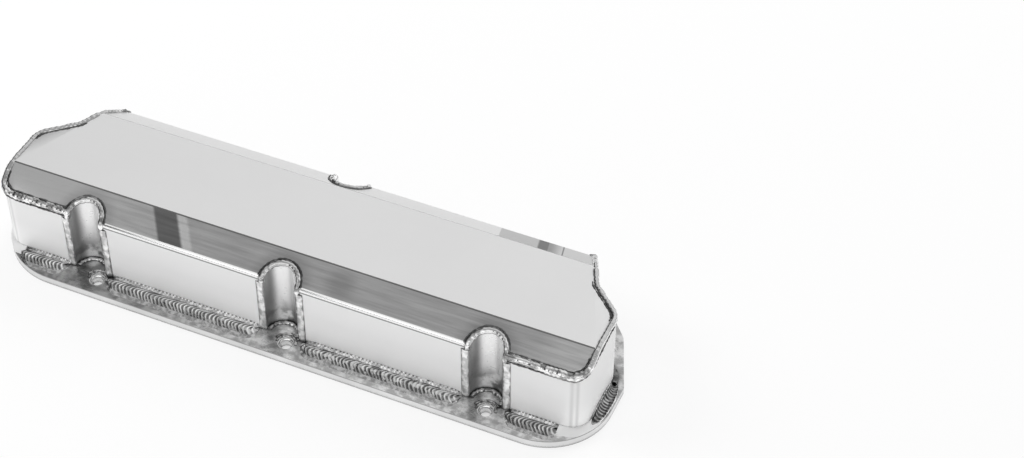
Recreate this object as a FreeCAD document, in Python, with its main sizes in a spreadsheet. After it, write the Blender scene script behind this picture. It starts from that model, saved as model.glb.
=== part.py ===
import FreeCAD, Part
import math
import os
import Sketcher

# Welded sheet-aluminium engine valve cover. Origin at the centre of the gasket face,
# +X along the engine, -Y towards the exhaust side, +Z up. Millimetres.

doc = FreeCAD.newDocument("valve_cover")

# Driving dimensions
sizes = [
    ("flange_length", 480.0),
    ("flange_width", 136.4),
    ("flange_thick", 6.5),
    ("flange_corner_left", 56.5),
    ("flange_corner_right", 48.0),
    ("sheet_thick", 3.0),
    ("ledge", 3.0),
    ("front_margin", 19.5),
    ("rear_margin", 1.7),
    ("end_margin", 9.0),
    ("shoulder_height", 58.0),
    ("top_height", 69.0),
    ("front_band_run", 23.0),
    ("rear_band_run", 20.2),
    ("fold_radius", 4.0),
    ("wall_corner", 15.0),
    ("step_start_back", 59.4),
    ("step_end_in", 23.5),
    ("step_end_back", 37.9),
    ("rear_corner_in", 39.5),
    ("step_radius", 14.0),
    ("ear_start_back", 65.2),
    ("ear_peak_in", 17.5),
    ("ear_peak_back", 21.4),
    ("ear_end_in", 36.5),
    ("ear_radius", 14.0),
    ("ear_end_radius", 12.0),
    ("pocket_pitch", 158.0),
    ("pocket_bore", 25.0),
    ("rear_pocket_setback", 2.0),
    ("hole_bore", 8.0),
    ("hole_chamfer", 1.8),
    ("front_hole_pitch", 155.0),
    ("front_hole_shift", 6.0),
    ("front_hole_edge", 12.5),
    ("ear_hole_in", 23.5),
    ("ear_hole_back", 35.9),
    ("rear_hole_edge", 6.5),
    ("raised_bead_radius", 3.2),
    ("raised_bead_proud", 1.7),
    ("raised_bead_knee", 1.2),
    ("arch_bead_inside", 1.25),
    ("arch_bead_drop", 5.0),
    ("seam_inset", 2.0),
    ("seam_end_proud", 0.9),
    ("side_bead_proud", 1.0),
    ("side_bead_radius", 5.3),
    ("corner_bead_radius", 3.2),
    ("corner_bead_depth", 2.2),
    ("foot_bead", 3.0),
    ("front_bead_width", 13.5),
    ("front_bead_height", 3.0),
    ("front_bead_crest", 8.5),
    ("front_bead_rounding", 9.0),
    ("front_bead_margin", 1.0),
    ("foot_clear", 3.1),
    ("front_bead_end", 18.0),
    ("corner_slope_width", 7.0),
    ("corner_slope_height", 2.2),
    ("end_bead_width", 8.4),
    ("end_bead_height", 4.6),
    ("end_bead_crest", 4.2),
    ("end_bead_rounding", 4.2),
    ("end_bead_margin", 1.5),
    ("end_bead_length", 36.0),
    ("step_bead_width", 3.5),
    ("step_bead_height", 3.0),
    ("inner_bead_width", 2.5),
    ("inner_bead_end", 8.0),
]

sheet = doc.addObject("Spreadsheet::Sheet", "Sizes")
for row, (alias, value) in enumerate(sizes, start=1):
    sheet.set("A%d" % row, alias)
    sheet.set("B%d" % row, str(value))
    sheet.setAlias("B%d" % row, alias)
doc.recompute()


class Measure:
    """A length with its value now and the sheet formula that drives it."""

    def __init__(self, value, formula):
        self.value = value
        self.formula = formula

    def joined(self, other, sign, value):
        return Measure(value, "(%s %s %s)" % (self.formula, sign, other.formula))

    def __add__(self, other):
        other = measure(other)
        return self.joined(other, "+", self.value + other.value)

    def __sub__(self, other):
        other = measure(other)
        return self.joined(other, "-", self.value - other.value)

    def __mul__(self, other):
        other = measure(other)
        return self.joined(other, "*", self.value * other.value)

    def __truediv__(self, other):
        other = measure(other)
        return self.joined(other, "/", self.value / other.value)

    def __neg__(self):
        return Measure(-self.value, "(0 - %s)" % self.formula)


def measure(thing):
    if isinstance(thing, Measure):
        return thing
    return Measure(float(thing), "%r" % float(thing))


def size(alias):
    return Measure(float(sheet.get(alias)), "Sizes.%s" % alias)


# Lines and levels that several pieces share
half_length = size("flange_length") / 2
front_edge = -size("flange_width") / 2
rear_edge = size("flange_width") / 2
flange_top = size("flange_thick")
sheet_thick = size("sheet_thick")
front_wall = front_edge + size("front_margin")
rear_wall = rear_edge - size("rear_margin")
end_wall = half_length - size("end_margin")
step_start_y = rear_edge - size("step_start_back")
step_end_x = end_wall - size("step_end_in")
step_end_y = rear_edge - size("step_end_back")
rear_corner_x = end_wall - size("rear_corner_in")
shoulder = size("shoulder_height")
top = size("top_height")
front_fold = front_wall + size("front_band_run")
rear_fold = rear_wall - size("rear_band_run")
pocket_inner = size("pocket_bore") / 2
pocket_outer = pocket_inner + sheet_thick
rear_pocket_y = rear_wall - size("rear_pocket_setback")
# A tool that cuts right through a piece stands this far past it on each side
past = measure(5.0)

upright = FreeCAD.Rotation(0.5, 0.5, 0.5, 0.5)


def bind(thing, prop, length):
    thing.setExpression(prop, length.formula)


def turn_points(before, corner, after, radius):
    """Ends, centre and turning side of the arc that rounds a corner."""
    into = (corner - before).normalize()
    out = (after - corner).normalize()
    side = 1 if into.cross(out).z > 0 else -1
    turn = into.getAngle(out)
    start = corner - into * radius * math.tan(turn / 2)
    end = corner + out * radius * math.tan(turn / 2)
    centre = start + FreeCAD.Vector(-into.y, into.x, 0) * radius * side
    return start, end, centre, side


def draw(name, corners, closed=True, rotation=FreeCAD.Rotation()):
    """Sketch of straight lines through the corners, each corner sharp or rounded."""
    sketch = doc.addObject("Sketcher::SketchObject", name)
    sketch.Placement = FreeCAD.Placement(FreeCAD.Vector(), rotation)
    points = [FreeCAD.Vector(x.value, y.value, 0) for x, y, _ in corners]
    count = len(points)
    starts, ends, arcs = list(points), list(points), {}
    for i, (_, _, radius) in enumerate(corners):
        if radius is not None:
            start, end, centre, side = turn_points(
                points[i - 1], points[i], points[(i + 1) % count], radius.value)
            ends[i], starts[i], arcs[i] = start, end, (centre, side)
    lines = {}
    for i in range(count if closed else count - 1):
        j = (i + 1) % count
        lines[i] = sketch.addGeometry(Part.LineSegment(starts[i], ends[j]), False)
    for i, (x, y, radius) in enumerate(corners):
        line_in, line_out = lines.get((i - 1) % count), lines.get(i)
        if radius is None:
            if line_in is not None and line_out is not None:
                sketch.addConstraint(Sketcher.Constraint("Coincident", line_in, 2, line_out, 1))
            held = (line_out, 1) if line_out is not None else (line_in, 2)
        else:
            held = (round_corner(sketch, points[i], arcs[i], radius, line_in, line_out), 1)
        for direction, length in (("DistanceX", x), ("DistanceY", y)):
            number = sketch.addConstraint(
                Sketcher.Constraint(direction, -1, 1, held[0], held[1], length.value))
            bind(sketch, "Constraints[%d]" % number, length)
    return sketch


def round_corner(sketch, corner, arc_place, radius, line_in, line_out):
    """Tangent arc between two lines; returns the point that marks the sharp corner."""
    centre, side = arc_place
    first = sketch.getPoint(line_in, 2) - centre
    last = sketch.getPoint(line_out, 1) - centre
    if side < 0:
        first, last = last, first
    begin = math.atan2(first.y, first.x)
    finish = math.atan2(last.y, last.x)
    if finish < begin:
        finish += 2 * math.pi
    circle = Part.Circle(centre, FreeCAD.Vector(0, 0, 1), radius.value)
    arc = sketch.addGeometry(Part.ArcOfCircle(circle, begin, finish), False)
    arc_start, arc_end = (1, 2) if side > 0 else (2, 1)
    sketch.addConstraint(Sketcher.Constraint("Tangent", line_in, 2, arc, arc_start))
    sketch.addConstraint(Sketcher.Constraint("Tangent", arc, arc_end, line_out, 1))
    number = sketch.addConstraint(Sketcher.Constraint("Radius", arc, radius.value))
    bind(sketch, "Constraints[%d]" % number, radius)
    mark = sketch.addGeometry(Part.Point(corner), True)
    sketch.addConstraint(Sketcher.Constraint("PointOnObject", mark, 1, line_in))
    sketch.addConstraint(Sketcher.Constraint("PointOnObject", mark, 1, line_out))
    return mark


def extrude(name, base, height, direction=(0, 0, 1), level=None):
    """Straight solid from a sketch or face, starting at a level above the gasket face."""
    solid = doc.addObject("Part::Extrusion", name)
    solid.Base = base
    solid.DirMode = "Custom"
    solid.Dir = FreeCAD.Vector(*direction)
    solid.Solid = True
    bind(solid, "LengthFwd", height)
    if level is not None:
        bind(solid, "Placement.Base.z", level)
    return solid


def offset(name, base, distance, filled):
    """Parallel copy of an outline; filled, it is the face between the two."""
    shape = doc.addObject("Part::Offset2D", name)
    shape.Source = base
    shape.Mode = "Skin"
    shape.Join = "Intersection"
    shape.Fill = filled
    bind(shape, "Value", distance)
    return shape


def cut(name, base, tool):
    result = doc.addObject("Part::Cut", name)
    result.Base = base
    result.Tool = tool
    return result


def common(name, *pieces):
    result = doc.addObject("Part::MultiCommon", name)
    result.Shapes = list(pieces)
    return result


def fuse(name, pieces):
    result = doc.addObject("Part::MultiFuse", name)
    result.Shapes = list(pieces)
    return result


def cylinder(name, radius, height, x, y, z):
    solid = doc.addObject("Part::Cylinder", name)
    for prop, length in (("Radius", radius), ("Height", height), ("Placement.Base.x", x),
                         ("Placement.Base.y", y), ("Placement.Base.z", z)):
        bind(solid, prop, length)
    return solid


def prism(name, sides, radius, height, x, y, z):
    """Upright bar with that many flat sides."""
    solid = doc.addObject("Part::Prism", name)
    solid.Polygon = sides
    for prop, length in (("Circumradius", radius), ("Height", height), ("Placement.Base.x", x),
                         ("Placement.Base.y", y), ("Placement.Base.z", z)):
        bind(solid, prop, length)
    return solid


def box(name, low, high):
    """Straight block between two opposite corners."""
    block = doc.addObject("Part::Box", name)
    for prop, place, begin, end in zip(("Length", "Width", "Height"), "xyz", low, high):
        bind(block, prop, end - begin)
        bind(block, "Placement.Base." + place, begin)
    return block


def mirrored(name, source):
    result = doc.addObject("Part::Mirroring", name)
    result.Source = source
    result.Normal = FreeCAD.Vector(1, 0, 0)
    return result


parts = []


def keep(thing, label):
    thing.Label = label
    parts.append(thing)
    return thing


# Outlines in plan, each corner with its rounding
def both_ends(corners):
    """The right-hand corners and, after them, the same corners mirrored to the left."""
    return corners + [(-x, y, radius) for x, y, radius in reversed(corners)]


wall_corner = (end_wall, front_wall, size("wall_corner"))
step_start = (end_wall, step_start_y, size("step_radius"))
step_end = (step_end_x, step_end_y, size("step_radius"))
rear_corner = (rear_corner_x, rear_wall, None)
wall_line = [wall_corner, step_start, step_end, rear_corner]
# The flange's left front corner is cut back further than its right one
ear_line = [
    (half_length, rear_edge - size("ear_start_back"), None),
    (half_length - size("ear_peak_in"), rear_edge - size("ear_peak_back"), size("ear_radius")),
    (half_length - size("ear_end_in"), rear_edge, size("ear_end_radius")),
]
flange_line = ([(half_length, front_edge, size("flange_corner_right"))] + both_ends(ear_line)
               + [(-half_length, front_edge, size("flange_corner_left"))])
folded_line = [
    (front_wall, flange_top, None),
    (front_wall, shoulder, size("fold_radius")),
    (front_fold, top, size("fold_radius")),
    (rear_fold, top, size("fold_radius")),
    (rear_wall, shoulder, size("fold_radius")),
    (rear_wall, flange_top, None),
]


# Whole outside of the cover, as solid blocks that the sheet pieces are trimmed with
plan_outline = draw("plan_outline", both_ends(wall_line))
plan_block = extrude("plan_block", plan_outline, top + past, level=flange_top)
side_outline = draw("side_outline", folded_line, rotation=upright)
side_block = extrude("side_block", side_outline, size("flange_length"), (1, 0, 0))
side_block.Symmetric = True


# Bolt pockets: upright half tubes let into the walls, open to the front or rear
pockets = [
    ("front_pocket_left", -size("pocket_pitch"), front_wall),
    ("front_pocket_centre", measure(0), front_wall),
    ("front_pocket_right", size("pocket_pitch"), front_wall),
    ("rear_pocket", measure(0), rear_pocket_y),
]


def pocket_block(name, radius, x, y, low):
    """Upright round block; behind the wall line it runs straight out to the wall."""
    height = top + past - low
    round_block = cylinder(name + "_round", radius, height, x, y, low)
    if y is front_wall:
        return round_block
    straight = box(name + "_straight", (x - radius, y, low),
                   (x + radius, rear_wall + past, low + height))
    return fuse(name + "_block", [round_block, straight])


outer_blocks = {}
inner_blocks = {}
for name, x, y in pockets:
    outer_blocks[name] = pocket_block(name + "_outer", pocket_outer, x, y, flange_top)
    inner_blocks[name] = pocket_block(name + "_inner", pocket_inner, x, y, flange_top)


# Base flange: plate with a large opening, round bumps under the pockets, six bolt holes
flange_outline = draw("flange_outline", flange_line)
flange_plate = extrude("flange_plate", flange_outline, flange_top)
plan_face = doc.addObject("Part::Face", "plan_face")
plan_face.Sources = [plan_outline]
opening_outline = offset("opening_outline", plan_face, -(sheet_thick + size("ledge")), False)
opening_block = extrude("opening_block", opening_outline, flange_top + past * 2, level=-past)
bumps = [cylinder(name + "_bump", pocket_outer + size("ledge"), flange_top + past * 4, x, y,
                  past * -2) for name, x, y in pockets]
opening = cut("opening", opening_block, fuse("bumps", bumps))

hole_radius = size("hole_bore") / 2
hole_chamfer = size("hole_chamfer")
front_hole_y = front_edge + size("front_hole_edge")
ear_hole_x = half_length - size("ear_hole_in")
ear_hole_y = rear_edge - size("ear_hole_back")
holes = [
    ("hole_front_left", size("front_hole_shift") - size("front_hole_pitch"), front_hole_y),
    ("hole_front_centre", size("front_hole_shift"), front_hole_y),
    ("hole_front_right", size("front_hole_shift") + size("front_hole_pitch"), front_hole_y),
    ("hole_ear_left", -ear_hole_x, ear_hole_y),
    ("hole_ear_right", ear_hole_x, ear_hole_y),
    ("hole_rear_centre", measure(0), rear_edge - size("rear_hole_edge")),
]
hole_tools = []
for name, x, y in holes:
    hole_tools.append(cylinder(name, hole_radius, flange_top + past * 2, x, y, -past))
    cone = doc.addObject("Part::Cone", name + "_chamfer")
    for prop, length in (("Radius1", hole_radius), ("Radius2", hole_radius + hole_chamfer),
                         ("Height", hole_chamfer), ("Placement.Base.x", x),
                         ("Placement.Base.y", y), ("Placement.Base.z", flange_top - hole_chamfer)):
        bind(cone, prop, length)
    hole_tools.append(cone)
keep(cut("flange", flange_plate, fuse("flange_tools", [opening] + hole_tools)), "base_flange")


# End caps: upright sheet bent round each end, from an outer front pocket to the rear corner
cap_start = (size("pocket_pitch"), front_wall, None)
cap_outline = draw("cap_outline", [cap_start] + wall_line, closed=False)
cap_strip = offset("cap_strip", cap_outline, -sheet_thick, True)
cap_right = extrude("cap_right", cap_strip, top + past, level=flange_top)
cap_left = mirrored("cap_left", cap_right)
for side, cap in (("left", cap_left), ("right", cap_right)):
    trimmed = common("cap_under_top_" + side, cap, side_block)
    keep(cut("cap_trimmed_" + side, trimmed, outer_blocks["front_pocket_" + side]), "end_cap_" + side)


# Top shell: one folded sheet, its ends cut to the caps and notched for the pockets
shell_outline = draw("shell_outline", folded_line, closed=False, rotation=upright)
shell_strip = offset("shell_strip", shell_outline, sheet_thick, True)
shell_sheet = extrude("shell_sheet", shell_strip, size("flange_length"), (1, 0, 0))
shell_sheet.Symmetric = True
shell_in_plan = common("shell_in_plan", shell_sheet, plan_block)
shell_tools = fuse("shell_tools", [cap_left, cap_right] + list(outer_blocks.values()))
keep(cut("shell", shell_in_plan, shell_tools), "top_shell")


# Pocket tubes, cut off along the sloping bands
for name, x, y in pockets:
    wall = cut(name + "_wall", outer_blocks[name], inner_blocks[name])
    keep(common(name + "_tube", wall, side_block), name)


# Solid metal as the welds see it: the whole cover less the pocket spaces
envelope = common("envelope", plan_block, side_block)
metal = cut("metal", envelope, fuse("pocket_spaces", list(inner_blocks.values())))

# Surface that the middle of every raised weld follows, sunk a little below the folded sheet
bead_radius = size("raised_bead_radius")
sunk = bead_radius - size("raised_bead_proud")
knee = size("raised_bead_knee")
front_start = front_wall + sunk - knee
rear_start = rear_wall - sunk + knee
bead_line = [
    (front_start, shoulder - sunk / 2 - knee * (top - shoulder) / size("front_band_run"), None),
    (front_fold + sunk / 4, top - sunk, None),
    (rear_fold - sunk / 4, top - sunk, None),
    (rear_start, shoulder - sunk / 2 - knee * (top - shoulder) / size("rear_band_run"), None),
]
bead_outline = draw("bead_outline", bead_line, closed=False, rotation=upright)
bead_sheet = extrude("bead_sheet", bead_outline, size("flange_length"), (1, 0, 0))
bead_sheet.Solid = False
bead_sheet.Symmetric = True


def half_chord(radius, distance):
    """Half the width of a circle at a distance from its centre."""
    return Measure(math.sqrt(radius.value ** 2 - distance.value ** 2),
                   "sqrt(%s ^ 2 - %s ^ 2)" % (radius.formula, distance.formula))


def swept_bead(name, guide, x, y, z, rotation):
    """Eight-sided bar swept along the line where a guide meets that surface."""
    path = doc.addObject("Part::Section", name + "_path")
    path.Base = guide
    path.Tool = bead_sheet
    doc.recompute()
    count = len(path.Shape.Edges)
    section = doc.addObject("Part::RegularPolygon", name + "_section")
    section.Polygon = 8
    section.Placement.Rotation = rotation
    for prop, length in (("Circumradius", bead_radius), ("Placement.Base.x", x),
                         ("Placement.Base.y", y), ("Placement.Base.z", z)):
        bind(section, prop, length)
    bar = doc.addObject("Part::Sweep", name + "_bar")
    bar.Sections = [section]
    bar.Spine = (path, ["Edge%d" % number for number in range(1, count + 1)])
    bar.Solid = True
    bar.Transition = "Right corner"
    return bar


# Arch welds: a bead round the top of each pocket on the band, with a foot at each end
arch_radius = pocket_outer - size("arch_bead_inside")
arch_low = shoulder - size("arch_bead_drop")
arch_spaces = {}
for name, x, y in pockets:
    ring = prism(name + "_ring", 36, arch_radius, top + past - arch_low, x, y, arch_low)
    arch_spaces[name] = cylinder(name + "_arch_space", arch_radius + bead_radius,
                                 top + past - arch_low, x, y, arch_low)
    if y is front_wall:
        start_y, foot_y, run, lean = front_start, front_wall + sunk, size("front_band_run"), -1
    else:
        start_y, foot_y, run, lean = rear_start, rear_wall - sunk, size("rear_band_run"), 1
    reach = half_chord(arch_radius, start_y - y)
    slope = math.degrees(math.atan2(run.value, (top - shoulder).value))
    bar = swept_bead(name + "_arch", ring, x - reach, start_y,
                     shoulder - sunk / 2 - knee * (top - shoulder) / run,
                     FreeCAD.Rotation(FreeCAD.Vector(1, 0, 0), slope * lean))
    pieces = [bar]
    for side, foot_x in (("left", x - reach), ("right", x + reach)):
        pieces.append(prism(name + "_arch_foot_" + side, 8, bead_radius, shoulder - arch_low,
                            foot_x, foot_y, arch_low))
    whole = fuse(name + "_arch_whole", pieces)
    keep(cut(name + "_arch_bead", whole, metal), "weld_arch_" + name)


# Side welds: low beads ground nearly flat, down both edges of each pocket
side_radius = size("side_bead_radius")
side_depth = side_radius - size("side_bead_proud")
for name, x, y in pockets:
    face_y, inward = (front_wall, side_depth) if y is front_wall else (rear_wall, -side_depth)
    for side, edge_x in (("left", x - pocket_outer), ("right", x + pocket_outer)):
        label = name + "_side_" + side
        bar = cylinder(label + "_bar", side_radius, arch_low - flange_top, edge_x,
                       face_y + inward, flange_top)
        if y is front_wall:
            low_y, high_y = face_y - past, face_y
        else:
            low_y, high_y = face_y, face_y + past
        clear = box(label + "_clear", (edge_x - side_radius, low_y, measure(0)),
                    (edge_x + side_radius, high_y, top))
        keep(common(label + "_bead", bar, clear), "weld_side_" + name + "_" + side)


# End seam welds: one bead over each end, from the outer pocket round to the rear corner
seam_line = offset("seam_line", cap_outline, -size("seam_inset"), False)
seam_curtain = extrude("seam_curtain", seam_line, top + past)
seam_curtain.Solid = False
seam_bar = swept_bead("seam", seam_curtain, size("pocket_pitch"), front_wall + size("seam_inset"),
                      shoulder, upright)
seam_reach = box("seam_reach", (size("pocket_pitch"), front_edge, flange_top),
                 (half_length, rear_wall + size("seam_end_proud"), top + past))
seam_right = cut("seam_right", common("seam_run", seam_bar, seam_reach),
                 fuse("seam_tools", [metal, arch_spaces["front_pocket_right"]]))
keep(seam_right, "weld_seam_end_right")
keep(mirrored("seam_left", seam_right), "weld_seam_end_left")

# Rear corner welds: an upright bead where each end cap meets the rear wall
corner_bar = cylinder("corner_bar", size("corner_bead_radius"), shoulder - flange_top,
                      rear_corner_x - size("corner_bead_depth"),
                      rear_wall - size("corner_bead_depth"), flange_top)
corner_right = cut("corner_right", corner_bar, fuse("corner_tools", [metal, seam_bar]))
keep(corner_right, "weld_rear_corner_right")
keep(mirrored("corner_left", corner_right), "weld_rear_corner_left")


# Room above the flange, which the base welds on it are trimmed to
over_flange = extrude("over_flange", flange_outline, top)


# Front base welds: broad low beads along the wall foot between the pockets
mound = [
    (front_wall, flange_top, None),
    (front_wall - size("front_bead_width"), flange_top, None),
    (front_wall - size("front_bead_crest"), flange_top + size("front_bead_height"),
     size("front_bead_rounding")),
    (front_wall, flange_top + size("front_bead_margin"), None),
]
mound_outline = draw("mound_outline", mound, rotation=upright)
pocket_clear = pocket_outer + size("foot_clear")
front_mound_end = end_wall - size("front_bead_end")
runs = [
    ("outer_left", -front_mound_end, -size("pocket_pitch") - pocket_clear),
    ("left", pocket_clear - size("pocket_pitch"), -pocket_clear),
    ("right", pocket_clear, size("pocket_pitch") - pocket_clear),
    ("outer_right", size("pocket_pitch") + pocket_clear, front_mound_end),
]
for name, low_x, high_x in runs:
    mound_run = extrude("front_mound_" + name, mound_outline, high_x - low_x, (1, 0, 0))
    bind(mound_run, "Placement.Base.x", low_x)
    keep(common("front_bead_" + name, mound_run, over_flange), "weld_base_front_" + name)


# Corner base welds: ground to a plain slope round each front corner
corner_x = end_wall - size("wall_corner")
corner_y = front_wall + size("wall_corner")
corner_cone = doc.addObject("Part::Cone", "corner_cone")
for prop, length in (("Radius1", size("wall_corner") + size("corner_slope_width")),
                     ("Radius2", size("wall_corner")), ("Height", size("corner_slope_height")),
                     ("Placement.Base.x", corner_x), ("Placement.Base.y", corner_y),
                     ("Placement.Base.z", flange_top)):
    bind(corner_cone, prop, length)
corner_reach = size("wall_corner") + size("corner_slope_width")
quarter = box("corner_quarter", (corner_x, corner_y - corner_reach, measure(0)),
              (corner_x + corner_reach, corner_y, top))
slope_round = cut("slope_round", common("slope_quarter", corner_cone, quarter), plan_block)
slope_line = [
    (front_wall, flange_top, None),
    (front_wall - size("corner_slope_width"), flange_top, None),
    (front_wall, flange_top + size("corner_slope_height"), None),
]
slope_straight = extrude("slope_straight", draw("slope_line", slope_line, rotation=upright),
                         corner_x - front_mound_end, (1, 0, 0))
bind(slope_straight, "Placement.Base.x", front_mound_end)
slope_right = fuse("slope_right", [slope_round, slope_straight])
slope_left = mirrored("slope_left", slope_right)
keep(common("corner_weld_right", slope_right, over_flange), "weld_base_corner_right")
keep(common("corner_weld_left", slope_left, over_flange), "weld_base_corner_left")


# End base welds: one heavy bead along the foot of each end wall
heap_line = [
    (end_wall, flange_top, None),
    (end_wall + size("end_bead_width"), flange_top, None),
    (end_wall + size("end_bead_crest"), flange_top + size("end_bead_height"),
     size("end_bead_rounding")),
    (end_wall, flange_top + size("end_bead_margin"), None),
]
across = FreeCAD.Rotation(FreeCAD.Vector(1, 0, 0), 90)
heap = extrude("heap", draw("heap_line", heap_line, rotation=across),
               size("end_bead_length"), (0, 1, 0))
bind(heap, "Placement.Base.y", corner_y)
keep(heap, "weld_base_end_right")
keep(mirrored("heap_left", heap), "weld_base_end_left")


# Step base welds: a thin bead along the foot of the step back to the rear edge
foot_strip = offset("foot_strip", cap_outline, size("step_bead_width"), True)
foot_block = extrude("foot_block", foot_strip, size("step_bead_height"), level=flange_top)
foot_reach = box("foot_reach", (measure(0), corner_y + size("end_bead_length"), measure(0)),
                 (half_length, rear_edge, top))
foot_right = cut("foot_right", common("foot_run", foot_block, foot_reach), corner_bar)
keep(foot_right, "weld_base_step_right")
keep(mirrored("foot_left", foot_right), "weld_base_step_left")


# Rear base welds: inside the cover, along the foot of the rear wall
inner_line = [
    (rear_wall - sheet_thick, flange_top, None),
    (rear_wall - sheet_thick, flange_top + size("inner_bead_width"), None),
    (rear_wall - sheet_thick - size("inner_bead_width"), flange_top, None),
]
inner_outline = draw("inner_outline", inner_line, rotation=upright)
inner_start = pocket_outer
inner_end = rear_corner_x - size("inner_bead_end")
for side, low_x, high_x in (("left", -inner_end, -inner_start), ("right", inner_start, inner_end)):
    bead = extrude("rear_fillet_" + side, inner_outline, high_x - low_x, (1, 0, 0))
    bind(bead, "Placement.Base.x", low_x)
    keep(bead, "weld_base_rear_" + side)


# Pocket foot welds: half a ring inside the foot of each pocket, behind its bolt hole
for (name, x, y), inner in zip(pockets, inner_blocks):
    ring = cylinder(name + "_foot_ring", pocket_inner, size("foot_bead"), x, y, flange_top)
    hollow = prism(name + "_foot_hollow", 24, pocket_inner - size("foot_bead"), top, x, y,
                   measure(0))
    if y is front_wall:
        low_y, high_y = y, y + pocket_outer
    else:
        low_y, high_y = y - pocket_outer, y
    half = box(name + "_foot_half", (x - pocket_outer, low_y, measure(0)),
               (x + pocket_outer, high_y, top))
    foot = cut(name + "_foot_step", ring, hollow)
    keep(common(name + "_foot_bead", foot, half), "weld_foot_" + name)


# Every object computed, every piece sound, before anything is written
doc.recompute()
for thing in doc.Objects:
    if "Invalid" in thing.State or "Error" in thing.State:
        raise RuntimeError("%s did not compute" % thing.Name)
for thing in parts:
    if thing.Shape.isNull() or not thing.Shape.isValid() or len(thing.Shape.Solids) != 1:
        raise RuntimeError("%s is not one sound solid" % thing.Label)

os.makedirs("parts", exist_ok=True)
for thing in parts:
    thing.Shape.exportStep("parts/%s.step" % thing.Label)
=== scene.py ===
import math

import bpy
from mathutils import Matrix, Vector


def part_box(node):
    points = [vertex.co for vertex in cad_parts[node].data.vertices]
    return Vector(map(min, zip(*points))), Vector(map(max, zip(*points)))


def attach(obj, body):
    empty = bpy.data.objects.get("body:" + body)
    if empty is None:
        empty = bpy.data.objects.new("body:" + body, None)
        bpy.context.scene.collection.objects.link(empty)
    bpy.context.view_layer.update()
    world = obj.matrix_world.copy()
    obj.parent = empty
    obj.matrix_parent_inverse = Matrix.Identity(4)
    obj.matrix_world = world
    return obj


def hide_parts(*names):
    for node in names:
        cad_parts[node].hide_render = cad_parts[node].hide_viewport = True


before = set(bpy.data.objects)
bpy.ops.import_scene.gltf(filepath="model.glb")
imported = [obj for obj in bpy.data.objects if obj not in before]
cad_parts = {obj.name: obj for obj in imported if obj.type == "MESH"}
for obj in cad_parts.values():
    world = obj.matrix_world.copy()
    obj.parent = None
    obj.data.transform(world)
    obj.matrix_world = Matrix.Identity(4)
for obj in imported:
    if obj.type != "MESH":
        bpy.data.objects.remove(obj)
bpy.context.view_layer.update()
bpy.ops.object.select_all(action="DESELECT")


# Camera
# The cover is seen from above its right front, as in the photograph: 44 degrees up and 23 degrees
# round to the right, from 1.6 metres away.
camera_data = bpy.data.cameras.new("camera")
camera_data.lens = 76.815
camera_data.sensor_width = 36
camera_data.clip_end = 50
camera = bpy.data.objects.new("camera", camera_data)
camera_place = (0.57165, -0.96652, 1.13542)
camera_right = Vector((0.915449, 0.40236, 0.00773))
camera_up = Vector((-0.283336, 0.630768, 0.722394))
camera_back = Vector((0.2858, -0.6635, 0.6914))
turn = Matrix((camera_right, camera_up, camera_back)).transposed().to_4x4()
camera.matrix_world = Matrix.Translation(camera_place) @ turn
bpy.context.scene.collection.objects.link(camera)
bpy.context.scene.camera = camera
bpy.context.scene.view_settings.view_transform = "Standard"


# Floor
# A studio floor that shows white to the eye and in the metal, and keeps a faint shadow. Its glow to the eye
# gives way to a painted shadow where a bolt hole closes it in, and from below it is clear, so that the
# inside can be seen.
def add_node(tree, kind, **values):
    """A shader node with its settings, and with its named or numbered inputs filled in."""
    node = tree.nodes.new("ShaderNode" + kind)
    for key, value in values.items():
        if not key.startswith("in_"):
            setattr(node, key, value)
            continue
        label = key[3:]
        socket = node.inputs[int(label) if label.isdigit() else label.replace("_", " ")]
        if isinstance(value, bpy.types.NodeSocket):
            tree.links.new(value, socket)
        else:
            socket.default_value = value
    return node


def scaled(tree, value, start, end, low, high):
    """The value's stretch from start to end, turned evenly into low to high."""
    return add_node(tree, "MapRange", in_Value=value, in_From_Min=start, in_From_Max=end, in_To_Min=low,
                    in_To_Max=high).outputs[0]


def combined(tree, operation, first, second):
    """Two values added, multiplied or compared."""
    return add_node(tree, "Math", operation=operation, in_0=first, in_1=second).outputs[0]


below_cover = -0.0003
bpy.ops.mesh.primitive_plane_add(size=12, location=(0, 0, below_cover))
floor = bpy.context.active_object
floor.name = "floor"
bpy.ops.object.transform_apply(location=True, rotation=True, scale=True)
floor_paint = bpy.data.materials.new("floor_paint")
floor_paint.use_nodes = True
tree = floor_paint.node_tree
tree.nodes.clear()
path_light = add_node(tree, "LightPath")
# Painted shadow: the glow to the eye fades where the floor is closed in, as under a bolt hole.
open_air = add_node(tree, "AmbientOcclusion", in_Distance=0.012, samples=6).outputs["AO"]
to_eye = combined(tree, "MULTIPLY", path_light.outputs["Is Camera Ray"],
                  scaled(tree, open_air, 0.1, 0.4, 0.1, 0.8))
to_metal = combined(tree, "MULTIPLY", path_light.outputs["Is Glossy Ray"], 0.8)
glow_share = combined(tree, "MAXIMUM", to_eye, to_metal)
matt = add_node(tree, "BsdfDiffuse", in_Color=(0.9, 0.9, 0.9, 1)).outputs[0]
glow = add_node(tree, "Emission", in_Color=(1, 1, 1, 1), in_Strength=1.0).outputs[0]
upper_face = add_node(tree, "MixShader", in_0=glow_share, in_1=matt, in_2=glow).outputs[0]
underneath = add_node(tree, "NewGeometry").outputs["Backfacing"]
clear = add_node(tree, "BsdfTransparent").outputs[0]
both_faces = add_node(tree, "MixShader", in_0=underneath, in_1=upper_face, in_2=clear).outputs[0]
add_node(tree, "OutputMaterial", in_Surface=both_faces)
floor.data.materials.append(floor_paint)


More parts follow.
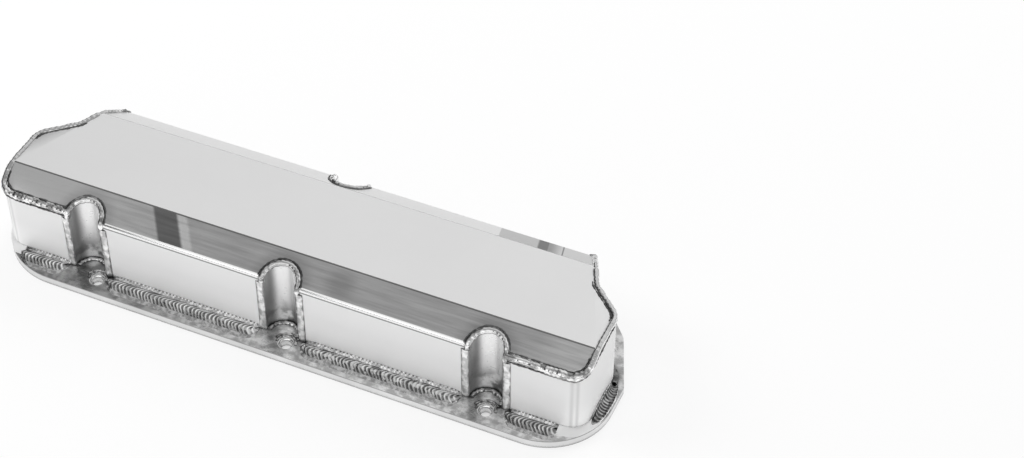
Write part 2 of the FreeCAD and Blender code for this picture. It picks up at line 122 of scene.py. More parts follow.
# Room and lamps
# A white room with a grey ceiling panel, a dark line along the horizon, a dark screen at the far left
# and a bright lamp box low in front, which give the metal its tones. Two soft lamps light the floor.
def ramp(tree, value, start, end, low, high):
    """The value's stretch from start to end, turned smoothly into low to high."""
    return add_node(tree, "MapRange", interpolation_type="SMOOTHSTEP", in_Value=value, in_From_Min=start,
                    in_From_Max=end, in_To_Min=low, in_To_Max=high).outputs[0]


def times(tree, first, second):
    """The product of two values."""
    return combined(tree, "MULTIPLY", first, second)


def between(tree, value, low, high, soft):
    """Mask that is 1 from low to high, with soft edges of that width."""
    rise = ramp(tree, value, low - soft, low + soft, 0.0, 1.0)
    return times(tree, rise, ramp(tree, value, high - soft, high + soft, 1.0, 0.0))


def mixed_value(tree, mask, first, second):
    """The first value where the mask is 0 and the second where it is 1."""
    return add_node(tree, "Mix", data_type="FLOAT", in_0=mask, in_2=first, in_3=second).outputs[0]


world = bpy.data.worlds.new("room")
bpy.context.scene.world = world
world.use_nodes = True
tree = world.node_tree
tree.nodes.clear()
direction = add_node(tree, "TexCoord").outputs["Generated"]
side_way, depth_way, height_way = add_node(tree, "SeparateXYZ", in_0=direction).outputs
light = ramp(tree, depth_way, -0.6, -0.4, 1.15, 0.9)
ceiling = times(tree, between(tree, depth_way, -0.44, 0.32, 0.09),
                ramp(tree, height_way, 0.25, 0.5, 0.0, 1.0))
light = mixed_value(tree, ceiling, light, 0.5)
horizon = between(tree, height_way, -0.06, 0.16, 0.05)
light = mixed_value(tree, horizon, light, 0.12)
screen = times(tree, ramp(tree, side_way, -0.62, -0.5, 1.0, 0.0),
               between(tree, height_way, 0.0, 0.62, 0.05))
light = mixed_value(tree, screen, light, 0.10)
lamp_box = times(tree, ramp(tree, depth_way, -0.84, -0.76, 1.0, 0.0),
                 between(tree, height_way, 0.14, 0.42, 0.04))
light = mixed_value(tree, lamp_box, light, 1.8)
to_eye = add_node(tree, "LightPath").outputs["Is Camera Ray"]
room = add_node(tree, "Background", in_Strength=mixed_value(tree, to_eye, light, 1.0)).outputs[0]
add_node(tree, "OutputWorld", in_Surface=room)

for name, place, width, power in (
    ("lamp_left", (-1.8, -0.4, 1.6), 1.2, 26),
    ("lamp_back", (0.6, 2.4, 2.0), 1.8, 40),
):
    lamp_data = bpy.data.lights.new(name, "AREA")
    lamp_data.shape = "SQUARE"
    lamp_data.size = width
    lamp_data.energy = power
    lamp = bpy.data.objects.new(name, lamp_data)
    lamp.location = place
    lamp.rotation_euler = (-Vector(place)).to_track_quat("-Z", "Y").to_euler()
    lamp.visible_glossy = False
    bpy.context.scene.collection.objects.link(lamp)


# Folded top
# The top, its two sloped bands and the long walls are one sheet of aluminium, folded on a brake and rubbed
# down by hand. The bands are painted greyer than the rest, a painted reflection. The folds are painted
# bright as a painted highlight, all but the one between the front band and the top, which is painted dark
# as a painted shade line.
def new_group(name, inputs, outputs):
    """An empty shader group with its named sockets, and its two end nodes."""
    group = bpy.data.node_groups.new(name, "ShaderNodeTree")
    for label, kind, value in inputs:
        socket = group.interface.new_socket(name=label, in_out="INPUT", socket_type=kind)
        socket.default_value = value
    for label, kind in outputs:
        group.interface.new_socket(name=label, in_out="OUTPUT", socket_type=kind)
    return group, group.nodes.new("NodeGroupInput"), group.nodes.new("NodeGroupOutput")


def object_place(tree):
    """Where a point lies on the cover, in metres."""
    return add_node(tree, "TexCoord").outputs["Object"]


def noise(tree, place, scale, detail, **more):
    """Cloudy noise at that place."""
    return add_node(tree, "TexNoise", in_Vector=place, in_Scale=scale, in_Detail=detail, **more).outputs[0]


brushed, start, end = new_group(
    "brushed_metal",
    [("Pale", "NodeSocketFloat", 0.9), ("Dark", "NodeSocketFloat", 0.7),
     ("Roughness", "NodeSocketFloat", 0.3), ("Scratches", "NodeSocketFloat", 0.3),
     ("Waviness", "NodeSocketFloat", 0.3), ("Tone", "NodeSocketFloat", 1.0),
     ("Dirt_and_Corner_Shade", "NodeSocketFloat", 1.0)],
    [("Color", "NodeSocketColor"), ("Roughness", "NodeSocketFloat"), ("Normal", "NodeSocketVector")])
place = object_place(brushed)
cloud = noise(brushed, place, 14.0, 4.0, in_Roughness=0.55)
tone = scaled(brushed, cloud, 0.35, 0.65, start.outputs["Dark"], start.outputs["Pale"])
# Dirt and painted shade: darker where the surface is closed in, in corners and along beads.
open_air = add_node(brushed, "AmbientOcclusion", in_Distance=0.0035, samples=6).outputs["AO"]
dirt_and_corner_shade = mixed_value(brushed, start.outputs["Dirt_and_Corner_Shade"], 1.0, ramp(brushed, open_air, 0.45, 0.88, 0.16, 1.0))
tone = times(brushed, times(brushed, tone, dirt_and_corner_shade), start.outputs["Tone"])
brushed.links.new(tone, end.inputs["Color"])
long_way = add_node(brushed, "Mapping", in_Vector=place, in_Scale=(60, 1800, 1800)).outputs[0]
cross_way = add_node(brushed, "Mapping", in_Vector=place, in_Rotation=(0, 0, 0.9),
                     in_Scale=(90, 1500, 1500)).outputs[0]
grain = combined(brushed, "ADD", noise(brushed, long_way, 1.0, 3.0), noise(brushed, cross_way, 1.0, 2.0))
spread = times(brushed, scaled(brushed, grain, 0.7, 1.3, -0.2, 0.2), start.outputs["Scratches"])
rough = combined(brushed, "ADD", spread, start.outputs["Roughness"])
brushed.links.new(rough, end.inputs["Roughness"])
fine = add_node(brushed, "Bump", in_Distance=0.00004, in_Height=grain,
                in_Strength=start.outputs["Scratches"]).outputs[0]
broad = add_node(brushed, "Bump", in_Distance=0.0006, in_Height=noise(brushed, place, 22.0, 2.0),
                 in_Normal=fine, in_Strength=start.outputs["Waviness"]).outputs[0]
brushed.links.new(broad, end.inputs["Normal"])


def metal_paint(name, pale, dark, roughness, scratches, waviness, metallic=1.0, dirt_and_corner_shade=1.0):
    """Bare aluminium of that tone and finish, with that much dirt and painted shade in its corners."""
    paint = bpy.data.materials.new(name)
    paint.use_nodes = True
    tree = paint.node_tree
    shader = tree.nodes["Principled BSDF"]
    shader.inputs["Metallic"].default_value = metallic
    finish = tree.nodes.new("ShaderNodeGroup")
    finish.name = "finish"
    finish.node_tree = brushed
    for label, value in (("Pale", pale), ("Dark", dark), ("Roughness", roughness), ("Scratches", scratches),
                         ("Waviness", waviness), ("Dirt_and_Corner_Shade", dirt_and_corner_shade)):
        finish.inputs[label].default_value = value
    tree.links.new(finish.outputs["Color"], shader.inputs["Base Color"])
    tree.links.new(finish.outputs["Roughness"], shader.inputs["Roughness"])
    tree.links.new(finish.outputs["Normal"], shader.inputs["Normal"])
    return paint


def object_axes(tree):
    """How far a point lies along (X), across (Y) and above (Z) the flange."""
    return add_node(tree, "SeparateXYZ", in_0=object_place(tree)).outputs


def set_tone(paint, tone):
    """Shade a paint by that value over its surface."""
    paint.node_tree.links.new(tone, paint.node_tree.nodes["finish"].inputs["Tone"])


def distance_from(tree, place, spot):
    """How far that place lies from a spot."""
    return add_node(tree, "VectorMath", operation="DISTANCE", in_0=place, in_1=spot).outputs["Value"]


def slanted_way(tree, along, across, slant):
    """Distance along the cover, read on lines that lean across it."""
    return add_node(tree, "Math", operation="MULTIPLY_ADD", in_0=across, in_1=slant, in_2=along).outputs[0]


def from_pockets(tree, along):
    """Distance along the cover from the middle of the nearest pocket."""
    half_pitch = 0.079
    return add_node(tree, "Math", operation="WRAP", in_0=along, in_1=half_pitch,
                    in_2=-half_pitch).outputs[0]


def finished_copy(node, paints, choose=None):
    """The CAD piece again, as one joined mesh with smooth rounds, in place of the CAD node."""
    piece = bpy.data.objects.new(node + "_finished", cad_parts[node].data.copy())
    bpy.context.scene.collection.objects.link(piece)
    bpy.ops.object.select_all(action="DESELECT")
    piece.select_set(True)
    bpy.context.view_layer.objects.active = piece
    bpy.ops.object.mode_set(mode="EDIT")
    bpy.ops.mesh.select_all(action="SELECT")
    bpy.ops.mesh.remove_doubles(threshold=0.000002)
    bpy.ops.object.mode_set(mode="OBJECT")
    bpy.ops.object.shade_smooth_by_angle(angle=math.radians(35))
    flats = piece.modifiers.new("flats", "WEIGHTED_NORMAL")
    flats.weight = 100
    flats.keep_sharp = True
    bpy.ops.object.modifier_apply(modifier="flats")
    piece.data.materials.clear()
    for paint in paints:
        piece.data.materials.append(paint)
    for face in piece.data.polygons:
        face.material_index = paints.index(choose(face.center, face.normal)) if choose else 0
    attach(piece, "root")
    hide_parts(node)


shell_low, shell_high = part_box("top_shell")
front_wall, rear_wall = shell_low[1], shell_high[1]

# The walls: a painted shade line under the front fold, soft dark streaks of painted reflection on the round
# corners, and painted light that makes them paler at the foot.
wall_paint = metal_paint("rubbed_wall", pale=0.95, dark=0.93, roughness=0.5, scratches=0.1, waviness=0.05,
                         metallic=0.3)
tree = wall_paint.node_tree
along, across, height = object_axes(tree)
shade_under_fold = times(tree, between(tree, height, 0.0547, 0.0557, 0.0002),
                   ramp(tree, across, front_wall, front_wall + 0.0003, 1.0, 0.0))
outward = add_node(tree, "Math", operation="ABSOLUTE", in_0=along).outputs[0]
streaks = combined(tree, "ADD", between(tree, outward, 0.2202, 0.2218, 0.0016),
                   between(tree, outward, 0.2240, 0.2252, 0.0012))
streaks = times(tree, streaks, ramp(tree, across, -0.04, -0.03, 1.0, 0.0))
# Painted light makes the wall paler at the foot, painted shade darkens the line under the fold, and the
# streaks are painted reflection.
tone = mixed_value(tree, shade_under_fold, ramp(tree, height, 0.0065, 0.035, 1.14, 0.97), 0.25)
set_tone(wall_paint, mixed_value(tree, streaks, tone, 0.74))

top_paint = metal_paint("rubbed_top", pale=0.90, dark=0.885, roughness=0.30, scratches=0.0, waviness=0.03,
                        metallic=0.75)

# The front band, painted greyer as a painted reflection: lighter to the left, then a dark and a light
# stretch side by side, also painted reflections; a darker halo round each pocket, one rubbed spot, a paler
# right end, and brush marks that fade to the left.
band_paint = metal_paint("brushed_band", pale=0.66, dark=0.62, roughness=0.24, scratches=0.15,
                         waviness=0.06)
tree = band_paint.node_tree
axes = object_axes(tree)
along, across = axes["X"], axes["Y"]
slanted = slanted_way(tree, along, across, 0.72)
# Painted reflections: lighter to the left, then a dark and a light stretch, on lines that lean across the
# band.
tone = ramp(tree, slanted, -0.21, -0.1, 1.3, 1.02)
for first, last, soft, shade in ((-0.1307, -0.111, 0.0015, 0.38), (-0.1112, -0.1035, 0.002, 1.5)):
    tone = mixed_value(tree, between(tree, slanted, first, last, soft), tone, shade)
beside = add_node(tree, "CombineXYZ", in_X=from_pockets(tree, along), in_Y=across).outputs[0]
halo = ramp(tree, distance_from(tree, beside, (0, front_wall, 0)), 0.014, 0.027, 0.72, 1.0)
from_spot = distance_from(tree, object_place(tree), (0.043, -0.037, 0.0636))
rubbed = ramp(tree, from_spot, 0.003, 0.016, 0.8, 1.05)
right_end = ramp(tree, along, 0.185, 0.21, 1.0, 1.2)
brush_way = add_node(tree, "Mapping", in_0=object_place(tree), in_Rotation=(0, 0, 0.5),
                     in_Scale=(25, 420, 420)).outputs[0]
brush_marks = scaled(tree, noise(tree, brush_way, 1.0, 5.0), 0.3, 0.7, 0.86, 1.16)
brush_marks = mixed_value(tree, ramp(tree, along, -0.19, -0.11, 0.85, 0.0), brush_marks, 1.0)
for shade in (halo, rubbed, right_end, brush_marks):
    tone = times(tree, tone, shade)
set_tone(band_paint, tone)

# The rear band, with painted reflections: grey towards its right end, then a dark stretch, a paler end and
# one thin dark line.
rear_paint = metal_paint("rear_band", pale=0.90, dark=0.88, roughness=0.3, scratches=0.1, waviness=0.05,
                         metallic=0.8)
tree = rear_paint.node_tree
axes = object_axes(tree)
slanted = slanted_way(tree, axes["X"], axes["Y"], 0.3)
# Painted reflections along lines that lean across the band.
tone = ramp(tree, slanted, 0.1385, 0.1395, 0.90, 0.58)
tone = mixed_value(tree, between(tree, slanted, 0.1685, 0.1765, 0.0008), tone, 0.13)
last_end = ramp(tree, slanted, 0.177, 0.188, 0.3, 0.7)
tone = mixed_value(tree, ramp(tree, slanted, 0.1760, 0.1770, 0.0, 1.0), tone, last_end)
set_tone(rear_paint, mixed_value(tree, between(tree, slanted, 0.1868, 0.1878, 0.0002), tone, 0.2))

# Painted highlight on the folds; painted shade as a dark line on the fold between the front band and the
# top.
fold_highlight_paint = metal_paint("fold_painted_highlight", pale=1.0, dark=0.98, roughness=0.2, scratches=0.0, waviness=0.0)
crease_shade_paint = metal_paint("fold_painted_shade", pale=0.30, dark=0.26, roughness=0.3, scratches=0.05, waviness=0.05)


def shell_face(centre, normal):
    """Paint of each face of the folded sheet, by how far it leans and on which side it lies."""
    if normal.z < 0.2:
        return wall_paint
    if normal.z > 0.99:
        return top_paint
    if 0.87 < normal.z < 0.92:
        return band_paint if centre.y < 0 else rear_paint
    return crease_shade_paint if normal.z > 0.9 and centre.y < 0 else fold_highlight_paint


finished_copy("top_shell",
              [wall_paint, top_paint, band_paint, fold_highlight_paint, crease_shade_paint, rear_paint], shell_face)


# End caps
# Each end is a strip of the same sheet, bent round the front corner and through the S-step and
# welded to the folded top all along its upper edge.
for node in ("end_cap_left", "end_cap_right"):
    finished_copy(node, [wall_paint])


# Bolt pockets
# Half tubes of the same sheet, let into the walls over the bolt holes and welded along both sides and round
# the top. Their sides are painted dark and their middles pale, a painted reflection, and the heat of the
# welds left soot at their feet.
pocket_paint = metal_paint("pocket_tube", pale=0.98, dark=0.90, roughness=0.30, scratches=0.15,
                           waviness=0.15, metallic=0.7)
tree = pocket_paint.node_tree
axes = object_axes(tree)
off_middle = add_node(tree, "Math", operation="ABSOLUTE", in_0=from_pockets(tree, axes["X"])).outputs[0]
smudges = ramp(tree, noise(tree, object_place(tree), 90.0, 4.0), 0.42, 0.6, 0.0, 1.0)
soot = times(tree, smudges, ramp(tree, axes["Z"], 0.012, 0.034, 1.0, 0.0))
# Painted reflection: pale down the middle of each tube and dark at its sides; soot at the foot.
set_tone(pocket_paint, mixed_value(tree, soot, ramp(tree, off_middle, 0.006, 0.0115, 1.05, 0.45), 0.25))
pocket_nodes = ("front_pocket_left", "front_pocket_centre", "front_pocket_right", "rear_pocket")
for node in pocket_nodes:
    finished_copy(node, [pocket_paint])


# Base flange
# A flat machined plate, greyer than the sheet and stained by the welding, with a paler sawn edge that has a
# painted dark line of shade along its top, bright chamfers round its bolt holes, and a clean gasket face
# underneath.
def blotches(tree, scale, low, high):
    """Splashes of lighter and darker metal, finer as the scale grows."""
    return ramp(tree, noise(tree, object_place(tree), scale, 3.0), 0.38, 0.64, low, high)


plate_paint = metal_paint("machined_plate", pale=0.70, dark=0.50, roughness=0.30, scratches=0.3,
                          waviness=0.3)
tree = plate_paint.node_tree
# Stained in blotches, and darker towards the left end of the plate.
set_tone(plate_paint, times(tree, blotches(tree, 140.0, 0.68, 1.22),
                            ramp(tree, object_axes(tree)["X"], -0.15, 0.0, 0.6, 1.15)))
edge_paint = metal_paint("sawn_edge", pale=0.80, dark=0.66, roughness=0.36, scratches=0.4, waviness=0.3,
                         metallic=0.8)
tree = edge_paint.node_tree
# Painted shade: a dark line along the top of the sawn edge.
set_tone(edge_paint, ramp(tree, object_axes(tree)["Z"], 0.0052, 0.0062, 1.05, 0.4))
chamfer_paint = metal_paint("bright_chamfer", pale=0.92, dark=0.86, roughness=0.16, scratches=0.1,
                            waviness=0.1)
gasket_face_paint = metal_paint("gasket_face", pale=0.84, dark=0.76, roughness=0.28, scratches=0.4,
                                waviness=0.1, dirt_and_corner_shade=0.0)


def flange_face(centre, normal):
    """Paint of each face of the flange, by how far it leans."""
    if abs(normal.z) > 0.95:
        return plate_paint if normal.z > 0 else gasket_face_paint
    return edge_paint if abs(normal.z) < 0.3 else chamfer_paint


finished_copy("base_flange", [plate_paint, edge_paint, chamfer_paint, gasket_face_paint],
              flange_face)


# Arch welds
# A raised bead of filler round the top of each pocket, laid by hand in small pools and so never quite even,
# bright on its crown, with painted reflections in light and dark blotches, and with a dark cord of painted
# shade along its toe where it meets the sheet.
weld_paint = metal_paint("bright_weld", pale=0.96, dark=0.84, roughness=0.12, scratches=0.05, waviness=0.2)
tree = weld_paint.node_tree
# Painted reflections: light and dark blotches along the bead, calmer on the roof.
calmer_on_roof = ramp(tree, object_axes(tree)["Z"], 0.060, 0.067, 0.0, 0.85)
set_tone(weld_paint, mixed_value(tree, calmer_on_roof, blotches(tree, 190.0, 0.36, 1.25), 0.86))
toe_shade_paint = metal_paint("weld_toe_shade", pale=0.22, dark=0.10, roughness=0.3, scratches=0.0, waviness=0.2)
toe_radius = 0.0006
shoulder = 0.058
roof = shell_high[2]
front_fold = front_wall + 0.023
rear_fold = rear_wall - 0.0202


def roof_height(y):
    """Height of the folded sheet's outer face at that depth."""
    front = shoulder + (roof - shoulder) * (y - front_wall) / (front_fold - front_wall)
    rear = shoulder + (roof - shoulder) * (rear_wall - y) / (rear_wall - rear_fold)
    return min(front, roof, rear)


def evened(points, step):
    """The same line with points one step apart."""
    line = [Vector(point) for point in points]
    total = sum((b - a).length for a, b in zip(line, line[1:]))
    count = max(2, round(total / step))
    result, walked, index = [], 0.0, 0
    for i in range(count + 1):
        wanted = total * i / count
        while index < len(line) - 2 and walked + (line[index + 1] - line[index]).length < wanted:
            walked += (line[index + 1] - line[index]).length
            index += 1
        length = (line[index + 1] - line[index]).length
        result.append(line[index].lerp(line[index + 1], min(1.0, (wanted - walked) / length)))
    return result


def make_uneven(piece, strength):
    """Press soft lumps into a bead."""
    lumps = bpy.data.textures.new(piece.name + "_lumps", "CLOUDS")
    lumps.noise_scale = 0.006
    uneven = piece.modifiers.new("uneven", "DISPLACE")
    uneven.texture = lumps
    uneven.strength = strength
    uneven.mid_level = 0.6
    uneven.texture_coords = "LOCAL"
    bpy.ops.object.modifier_apply(modifier="uneven")


def hand_over(piece, paints, replaced, angle):
    """Smooth and paint a bead, and put it in place of the CAD node."""
    bpy.ops.object.shade_smooth_by_angle(angle=math.radians(angle))
    piece.data.materials.clear()
    for paint in paints:
        piece.data.materials.append(paint)
    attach(piece, "root")
    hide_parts(*replaced)


def lay_cord(name, points, radius, swell, paint, replaced, fuller=None):
    """A bead as a round cord along the points, pinched between its uneven pools."""
    line = evened(points, 0.0006)
    data = bpy.data.curves.new(name, "CURVE")
    data.dimensions = "3D"
    data.bevel_depth = radius
    data.bevel_resolution = 3
    data.use_fill_caps = True
    spline = data.splines.new("POLY")
    spline.points.add(len(line) - 1)
    for i, (point, place) in enumerate(zip(spline.points, line)):
        point.co = (*place, 1)
        pools = math.sin(i * 1.05 + 2 * math.sin(i * 0.11)) + 0.8 * math.sin(i * 0.37 + 1)
        pools += 0.8 * math.sin(i * 0.23)
        point.radius = (1 + swell * pools) * (fuller(place) if fuller else 1.0)
    piece = bpy.data.objects.new(name, data)
    bpy.context.scene.collection.objects.link(piece)
    bpy.ops.object.select_all(action="DESELECT")
    piece.select_set(True)
    bpy.context.view_layer.objects.active = piece
    bpy.ops.object.convert(target="MESH")
    piece = bpy.context.active_object
    make_uneven(piece, 0.0007)
    hand_over(piece, [paint], replaced, 60)


def pocket_centre(node):
    """Middle of the pocket, and the way its open side faces: 1 to the rear, -1 to the front."""
    low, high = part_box(node)
    facing = 1 if high[1] > 0 else -1
    setback = 0.002
    edge = rear_wall - setback if facing > 0 else front_wall
    return Vector(((low[0] + high[0]) / 2, edge, 0)), facing


def arch_line(middle, facing, radius, turns, sunk):
    """Points on the folded sheet, or sunk into it, on an arch of that radius round a pocket."""
    line = []
    for turn in turns:
        angle = math.radians(180 - turn)
        y = middle.y - facing * radius * math.sin(angle)
        line.append((middle.x + radius * math.cos(angle), y, roof_height(y) - sunk))
    return line


arch_radius = 0.014
toe_arch_radius = 0.0166
into_wall = 0.0010
bead_sink = 0.0007
leg_heights = (0.0532, 0.054, 0.055, 0.056)
for node in pocket_nodes:
    middle, facing = pocket_centre(node)
    leg = (rear_wall if facing > 0 else front_wall) - facing * into_wall
    left_leg = [(middle.x - arch_radius, leg, z) for z in leg_heights]
    right_leg = [(middle.x + arch_radius, leg, z) for z in reversed(leg_heights)]
    arch = arch_line(middle, facing, arch_radius, range(0, 181, 6), bead_sink)
    if facing < 0:
        arch = [(x, max(y, leg), z) for x, y, z in arch]
    lay_cord("weld_arch_%s_cord" % node, left_leg + arch + right_leg, 0.0023, 0.05, weld_paint,
             ["weld_arch_" + node])
    # A dark cord of painted shade along the bead's toe.
    toe = arch_line(middle, facing, toe_arch_radius, range(4, 177, 4), 0.0001)
    lay_cord("weld_arch_%s_toe" % node, toe, toe_radius, 0.2, toe_shade_paint, ["weld_arch_" + node])


# End seams
# The raised bead that joins the folded top to each end cap. It follows the cap's line in plan and the
# folds in height, and it is laid fuller round the front corners, most of all on the right.
def inset_line(corners, inset):
    """The plan line moved to its left by that inset, each corner keeping its own rounding."""
    points = [Vector(corner[:2]) for corner in corners]
    legs = [(b - a).normalized() for a, b in zip(points, points[1:])]
    result = []
    for point, corner, into, out in zip(points, corners, legs[:1] + legs, legs + legs[-1:]):
        lefts = [Vector((-way.y, way.x)) for way in (into, out)]
        moved = point + (lefts[0] + lefts[1]) * inset / (1 + lefts[0].dot(lefts[1]))
        result.append((moved, corner[2] - inset if into.cross(out) > 0 else corner[2] + inset))
    return result


def rounded_line(corners):
    """Points along straight lines with a round at each inner corner."""
    line = [corners[0][0]]
    for i in range(1, len(corners) - 1):
        before, (corner, radius), after = corners[i - 1][0], corners[i], corners[i + 1][0]
        into, out = (corner - before).normalized(), (after - corner).normalized()
        reach = radius * math.tan(into.angle(out) / 2)
        a, b = corner - into * reach, corner + out * reach
        for step in range(9):
            t = step / 8
            line.append(a.lerp(corner, t).lerp(corner.lerp(b, t), t))
    line.append(corners[-1][0])
    return line


def fuller_corner(place):
    """The bead grows round the front corner, most on the right."""
    corner = Vector((math.copysign(0.214, place.x), -0.047, 0.0573))
    near = max(0.0, 1 - (place - corner).length / 0.032)
    return 1 + near * (0.6 if place.x > 0 else 0.3)


end_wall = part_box("end_cap_right")[1][0]
cap_line = [
    (0.1718, front_wall, 0),
    (end_wall, front_wall, 0.015),
    (end_wall, 0.0088, 0.014),
    (end_wall - 0.0235, 0.0303, 0.014),
    (end_wall - 0.0395, rear_wall, 0),
]
seam_plan = rounded_line(inset_line(cap_line, 0.0013))
seam_plan[-1] = seam_plan[-1] + (seam_plan[-1] - seam_plan[-2]).normalized() * -0.0012
seam_line = [a.lerp(b, step / 6) for a, b in zip(seam_plan, seam_plan[1:]) for step in range(6)]
seam_line.append(seam_plan[-1])
for side, sign in (("left", -1), ("right", 1)):
    seam = "weld_seam_end_" + side
    line = [(sign * point.x, point.y, roof_height(point.y) - bead_sink) for point in seam_line]
    lay_cord(seam + "_cord", line, 0.0022, 0.05, weld_paint, [seam], fuller_corner)
    # Dark cords of painted shade along both toes of the seam bead.
    for place, inset, sunk in (("inner", 0.0040, 0.0001), ("outer", -0.0001, 0.0032)):
        toe = [(sign * point.x, min(point.y, rear_wall - 0.001), roof_height(point.y) - sunk)
               for point in rounded_line(inset_line(cap_line, inset))]
        lay_cord(seam + "_toe_" + place, toe, toe_radius, 0.2, toe_shade_paint, [seam])


# Ground welds
# Beads of filler that were filed and ground nearly flat: down the pocket sides, up the rear corners, round
# the front corners and inside the rear wall. The upright ones have a wandering dark outline of painted
# shade where they meet the wall.
ground_paint = metal_paint("ground_weld", pale=0.95, dark=0.86, roughness=0.22, scratches=0.1, waviness=0.3,
                           metallic=0.6)
tree = ground_paint.node_tree
# Painted shade: a wandering dark outline where the bead meets the wall.
wobble = scaled(tree, noise(tree, object_place(tree), 160.0, 2.0), 0.3, 0.7, -0.0003, 0.0003)
wandering = combined(tree, "ADD", object_axes(tree)["Y"], wobble)
near_wall = between(tree, wandering, front_wall - 0.0004, rear_wall + 0.0004, 0.00012)
outline = mixed_value(tree, near_wall, 1.0, 0.35)
set_tone(ground_paint, times(tree, outline, blotches(tree, 230.0, 0.6, 1.15)))
smooth_paint = metal_paint("smooth_filler", pale=0.92, dark=0.88, roughness=0.45, scratches=0.1,
                           waviness=0.1, metallic=0.3, dirt_and_corner_shade=0.2)
for node in pocket_nodes:
    for side in ("left", "right"):
        finished_copy("weld_side_%s_%s" % (node, side), [ground_paint])
for side in ("left", "right"):
    finished_copy("weld_rear_corner_" + side, [ground_paint])
    for place in ("base_corner_", "base_rear_"):
        finished_copy("weld_" + place + side, [smooth_paint])


# Base welds
# Filler laid along the foot of the walls in overlapping pools, like a row of leaning coins. Each pool has a
# painted highlight on its crest and painted shade in its hollow, some have run together, and the run's
# margins are smooth.
base_weld_paint = metal_paint("base_weld", pale=0.98, dark=0.85, roughness=0.16, scratches=0.0,
                              waviness=0.15, dirt_and_corner_shade=0.5)
tree = base_weld_paint.node_tree
crest = add_node(tree, "Attribute", attribute_name="crest").outputs["Fac"]
along = object_axes(tree)["X"]
# Painted highlight on each pool's crest and painted shade in its hollow.
ripple_highlight_and_shade = times(tree, ramp(tree, crest, 0.25, 0.85, 0.22, 1.05), blotches(tree, 110.0, 0.6, 1.1))
ripple_highlight_and_shade = times(tree, ripple_highlight_and_shade, ramp(tree, along, 0.222, 0.224, 1.0, 0.7))
ripple_highlight_and_shade = times(tree, ripple_highlight_and_shade, ramp(tree, along, -0.04, 0.06, 1.15, 0.85))
melted = times(tree, blotches(tree, 240.0, -0.6, 1.0), ramp(tree, along, -0.12, 0.02, 0.3, 0.8))
melted = times(tree, melted, ramp(tree, along, 0.12, 0.15, 1.0, 0.3))
melted = add_node(tree, "Clamp", in_Value=melted).outputs[0]
set_tone(base_weld_paint, mixed_value(tree, melted, ripple_highlight_and_shade, 0.95))
margin_paint = metal_paint("weld_margin", pale=0.98, dark=0.85, roughness=0.2, scratches=0.0, waviness=0.4,
                           dirt_and_corner_shade=0.15)
set_tone(margin_paint, blotches(margin_paint.node_tree, 300.0, 0.6, 1.1))
flange_low, flange_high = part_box("base_flange")
flange_top = flange_high[2]


def bead_section(edge, climb, inner, outer, reach, margin, height, lean=0.0):
    """Rows of depth, height and crown: a fillet on the wall, the pools' crown, a margin, and back under."""
    count = 10
    rows = [(edge, climb, 0.0), ((edge + inner) / 2, (climb + margin + lean) / 2, 0.0)]
    for i in range(count + 1):
        crown = math.sin(math.pi * i / count)
        rest = margin + lean * (1 - i / count)
        rows.append((inner + (outer - inner) * i / count, rest + (height - margin) * crown, crown))
    return rows + [((outer + reach) / 2, margin * 0.6, 0.0), (reach, 0.0, 0.0), (edge, 0.0, 0.0), rows[0]]


def keep_on_flange(piece):
    """Draw in what reaches over the flange's rounded front corners."""
    rim = 0.0008
    for sign, radius in ((-1, 0.0565), (1, 0.048)):
        corner = Vector((sign * (flange_high[0] - radius), flange_low[1] + radius))
        for point in piece.data.vertices:
            spot = Vector(point.co[:2])
            over = (spot.x - corner.x) * sign > 0 and spot.y < corner.y
            if over and (spot - corner).length > radius - rim:
                spot = corner + (spot - corner).normalized() * (radius - rim)
                point.co = (spot.x, spot.y, point.co.z)


def one_pool(name, section, width, lag, rise):
    """One pool of the run, its crown lagging behind its margins and swelling by that rise."""
    steps = 6
    bpy.ops.object.select_all(action="DESELECT")
    bpy.ops.mesh.primitive_grid_add(x_subdivisions=steps, y_subdivisions=len(section) - 1, size=1)
    piece = bpy.context.active_object
    piece.name = name
    crest = piece.data.attributes.new("crest", "FLOAT", "POINT")
    rank = piece.data.attributes.new("rank", "FLOAT", "POINT")
    for i, point in enumerate(piece.data.vertices):
        row, column = divmod(i, steps + 1)
        y, z, crown = section[row]
        t = column / steps
        swell = rise * math.sqrt(max(0.0, 1 - (2 * t - 1) ** 2)) * crown
        point.co = (t * width + lag * crown, y, z + swell)
        crest.data[i].value = max(0.0, 1 - abs(t - 0.5) / 0.4)
        rank.data[i].value = row
    bpy.ops.object.mode_set(mode="EDIT")
    bpy.ops.mesh.select_all(action="SELECT")
    bpy.ops.mesh.remove_doubles(threshold=0.000001)
    bpy.ops.object.mode_set(mode="OBJECT")
    return piece


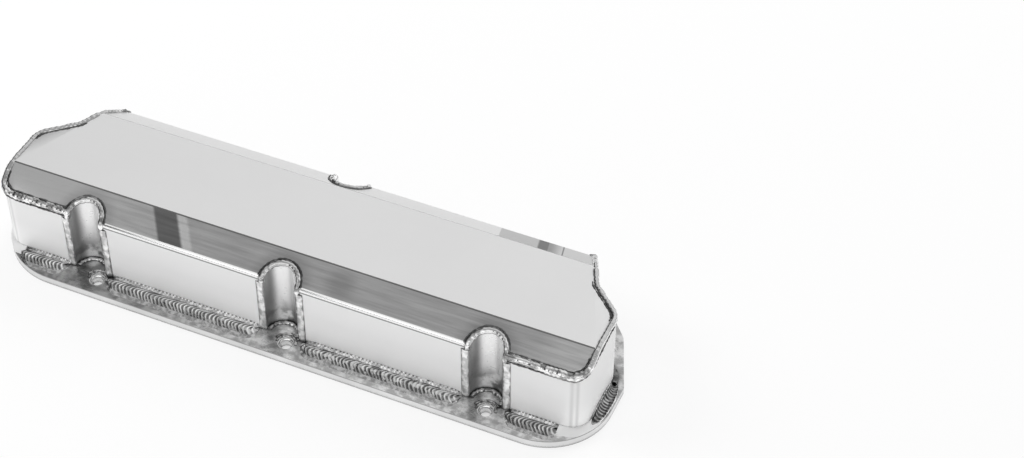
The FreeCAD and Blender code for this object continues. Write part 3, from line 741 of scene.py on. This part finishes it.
def lay_pools(name, start, end, section, pitch, lag, rise, taper, replaced):
    """Overlapping pools of that section from start to end, running out at both ends."""
    length = (Vector(end) - Vector(start)).length
    count = max(2, round(length / pitch))
    piece = one_pool(name, section, length / count, lag, rise)
    run = piece.modifiers.new("run", "ARRAY")
    run.count = count
    run.use_relative_offset = False
    run.use_constant_offset = True
    run.constant_offset_displace = (length / count, 0, 0)
    run.use_merge_vertices = True
    run.merge_threshold = 0.00001
    bpy.ops.object.modifier_apply(modifier="run")
    rank = piece.data.attributes["rank"].data
    for i, point in enumerate(piece.data.vertices):
        x, y, z = point.co
        behind = lag * section[round(rank[i].value)][2]
        share = max(0.0, min(1.0, (x - behind) / taper, (length - x + behind) / taper))
        full = math.sqrt(share * (2 - share))
        point.co = (x, y * (0.35 + 0.65 * full), z * (0.03 + 0.97 * full))
    drift = bpy.data.textures.new(name + "_drift", "CLOUDS")
    drift.noise_scale = 0.012
    uneven = piece.modifiers.new("drift", "DISPLACE")
    uneven.texture = drift
    uneven.strength = 0.0035
    uneven.direction = "X"
    bpy.ops.object.modifier_apply(modifier="drift")
    way = (Vector(end) - Vector(start)).normalized()
    piece.matrix_world = Matrix.Translation(start) @ Matrix.Rotation(math.atan2(way.y, way.x), 4, "Z")
    bpy.ops.object.transform_apply(location=True, rotation=True, scale=True)
    make_uneven(piece, 0.0004)
    keep_on_flange(piece)
    bpy.ops.object.mode_set(mode="EDIT")
    bpy.ops.mesh.select_all(action="SELECT")
    bpy.ops.mesh.fill_holes(sides=0)
    bpy.ops.mesh.normals_make_consistent(inside=False)
    bpy.ops.object.mode_set(mode="OBJECT")
    hand_over(piece, [base_weld_paint, margin_paint], replaced, 50)
    rank = piece.data.attributes["rank"].data
    for face in piece.data.polygons:
        row = sum(rank[i].value for i in face.vertices) / len(face.vertices)
        face.material_index = 0 if 2 < row < len(section) - 5 else 1


front_section = bead_section(edge=0.0005, climb=0.0032, inner=-0.0021, outer=-0.0126, reach=-0.0155,
                             margin=0.0013, height=0.0020)
for place in ("outer_left", "left", "right", "outer_right"):
    node = "weld_base_front_" + place
    low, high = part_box(node)
    lay_pools(node + "_pools", (low[0], front_wall, flange_top), (high[0] + 0.0015, front_wall, flange_top),
              front_section, pitch=0.0030, lag=-0.0032, rise=0.0005, taper=0.010, replaced=[node])
end_section = bead_section(edge=0.0005, climb=0.0066, inner=-0.0008, outer=-0.0079, reach=-0.0086,
                           margin=0.0014, height=0.0026, lean=0.0036)
for side, sign in (("left", -1), ("right", 1)):
    node = "weld_base_end_" + side
    low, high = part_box(node)
    start = (sign * end_wall, low[1] - 0.003, flange_top)
    end = (sign * end_wall, high[1] + 0.002, flange_top)
    if sign < 0:
        start, end = end, start
    lay_pools(node + "_pools", start, end, end_section, pitch=0.0027, lag=-0.0030, rise=0.0005, taper=0.018,
              replaced=[node])
for side in ("left", "right"):
    finished_copy("weld_base_step_" + side, [base_weld_paint])


# Foot welds
# The sooty bead inside the foot of each pocket, laid in a half ring, and low arcs of weld metal round
# the bolt hole in front of it.
sooty_paint = metal_paint("sooty_weld", pale=0.66, dark=0.35, roughness=0.26, scratches=0.05, waviness=0.6,
                          dirt_and_corner_shade=0.5)
set_tone(sooty_paint, blotches(sooty_paint.node_tree, 300.0, 0.45, 1.35))
hole_pitch = 0.155
middle_hole_x = 0.006
front_hole_y = flange_low[1] + 0.0125
rear_hole_y = flange_high[1] - 0.0065
hole_centres = [(middle_hole_x + hole_pitch * i, front_hole_y) for i in (-1, 0, 1)] + [(0, rear_hole_y)]


def arc_line(x, y, radius, first, last, facing):
    """Points on an arc at the flange's top, on the pocket's side of that centre."""
    turns = [math.radians(last + (first - last) * i / 24) for i in range(25)]
    height = flange_top - 0.0002
    return [(x + radius * math.cos(turn), y - facing * radius * math.sin(turn), height) for turn in turns]


for node, (hole_x, hole_y) in zip(pocket_nodes, hole_centres):
    middle, facing = pocket_centre(node)
    foot = "weld_foot_" + node
    half_ring = arc_line(middle.x, middle.y, 0.0114, 0, 180, facing)
    lay_cord(foot + "_cord", half_ring, 0.0019, 0.1, sooty_paint, [foot])
    rings = [(0.0068, 10, 170)] if facing > 0 else [(0.0070, 5, 185), (0.0092, 38, 165)]
    for number, (radius, first, last) in enumerate(rings, start=1):
        ring = arc_line(hole_x, hole_y, radius, first, last, facing)
        lay_cord("%s_ring_%d" % (foot, number), ring, 0.0011, 0.12, sooty_paint, [foot])
